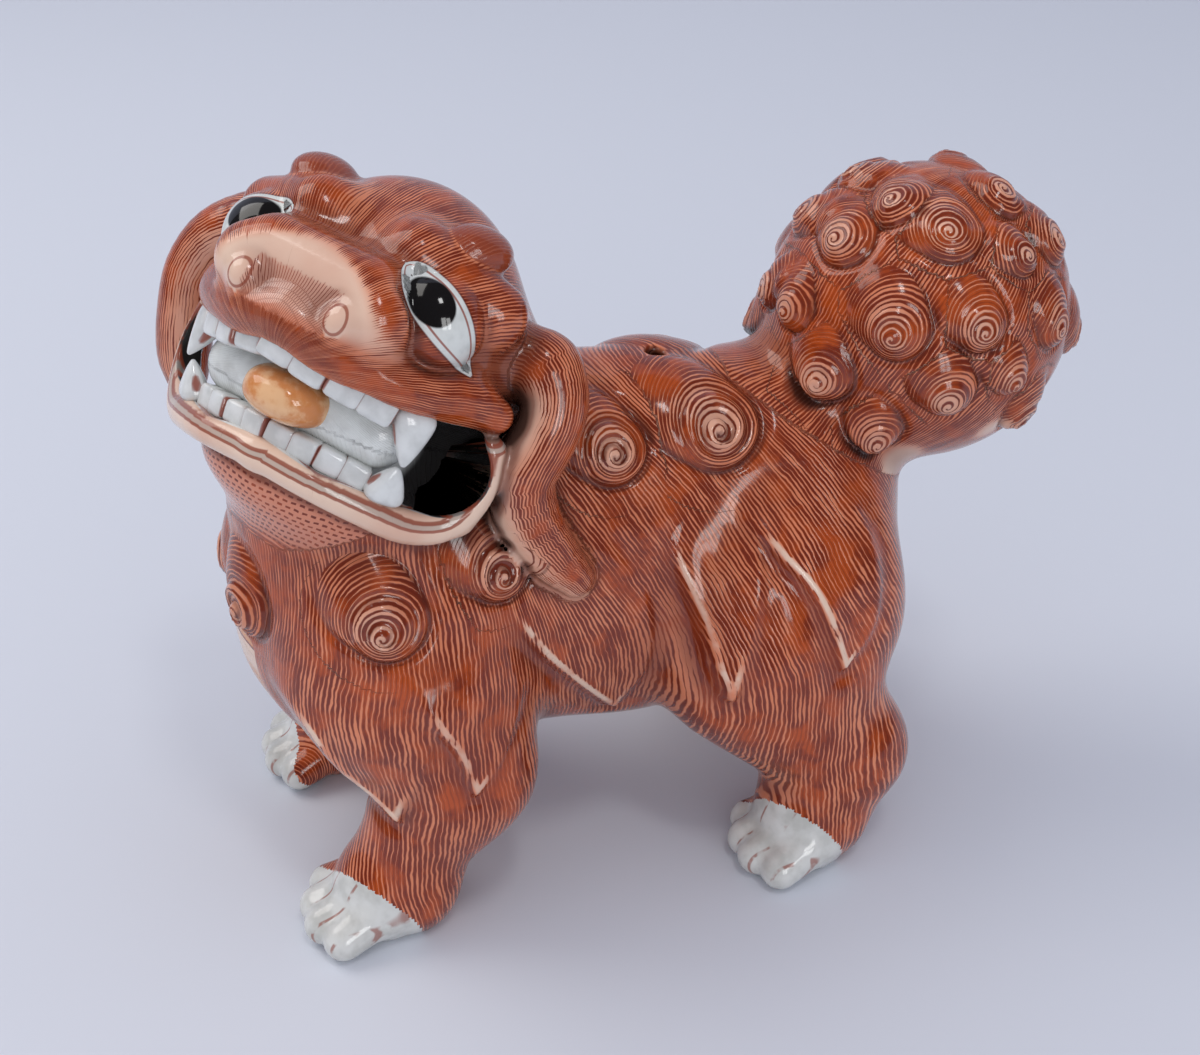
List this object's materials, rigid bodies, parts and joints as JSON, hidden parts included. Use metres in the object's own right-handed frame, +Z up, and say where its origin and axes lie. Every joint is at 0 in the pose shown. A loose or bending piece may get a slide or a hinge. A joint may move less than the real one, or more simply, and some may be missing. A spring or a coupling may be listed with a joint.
{
  "type": "foo dog statue",
  "caption": "Standing hollow porcelain lion dog with turned head, open toothed mouth, hanging ears and a ball tail of applied curls; a free-standing shelf ornament.",
  "frame": {"origin": "centre of the whole statue's box in X and Y, at the soles of the feet in Z", "axes": "-Y is the way the trunk faces, +X is the dog's left, +Z is up"},
  "size_m": [0.0722, 0.1354, 0.1118],
  "materials": {
    "red_enamel": "fine iron-red hair lines over cream under a glossy clear glaze",
    "white_glaze": "glossy bluish white glaze with thin red-brown lines",
    "orange_enamel": "glossy mottled orange enamel",
    "eye_glaze": "glossy white glaze with a black enamel pupil and a red outline"
  },
  "bodies": {
    "root": {"body_left": "red_enamel", "body_right": "red_enamel", "chest_curl_left": "red_enamel", "chest_curl_right": "red_enamel", "ear_left": "red_enamel", "ear_right": "red_enamel", "eyeball_left": "eye_glaze", "eyeball_right": "eye_glaze", "front_back_curl_left": "red_enamel", "front_back_curl_right": "red_enamel", "front_leg_left": "red_enamel", "front_leg_right": "red_enamel", "front_paw_left": "white_glaze", "front_paw_right": "white_glaze", "head": "red_enamel", "horn_bud_left": "red_enamel", "horn_bud_right": "red_enamel", "lower_fang_left": "white_glaze", "lower_fang_right": "white_glaze", "lower_jaw": "red_enamel", "lower_teeth": "white_glaze", "rear_back_curl_left": "red_enamel", "rear_back_curl_right": "red_enamel", "rear_leg_left": "red_enamel", "rear_leg_right": "red_enamel", "rear_paw_left": "white_glaze", "rear_paw_right": "white_glaze", "shoulder_curl_left": "red_enamel", "shoulder_curl_right": "red_enamel", "side_curl_left": "red_enamel", "side_curl_right": "red_enamel", "tail_curl_left_01": "red_enamel", "tail_curl_left_02": "red_enamel", "tail_curl_left_03": "red_enamel", "tail_curl_left_04": "red_enamel", "tail_curl_left_05": "red_enamel", "tail_curl_left_06": "red_enamel", "tail_curl_left_07": "red_enamel", "tail_curl_left_08": "red_enamel", "tail_curl_left_09": "red_enamel", "tail_curl_left_10": "red_enamel", "tail_curl_right_01": "red_enamel", "tail_curl_right_02": "red_enamel", "tail_curl_right_03": "red_enamel", "tail_curl_right_04": "red_enamel", "tail_curl_right_05": "red_enamel", "tail_curl_right_06": "red_enamel", "tail_curl_right_07": "red_enamel", "tail_curl_right_08": "red_enamel", "tail_curl_right_09": "red_enamel", "tail_curl_right_10": "red_enamel", "tail_left": "red_enamel", "tail_right": "red_enamel", "tongue": "orange_enamel", "upper_fang_left": "white_glaze", "upper_fang_right": "white_glaze", "upper_teeth": "white_glaze"}
  },
  "joints": []
}
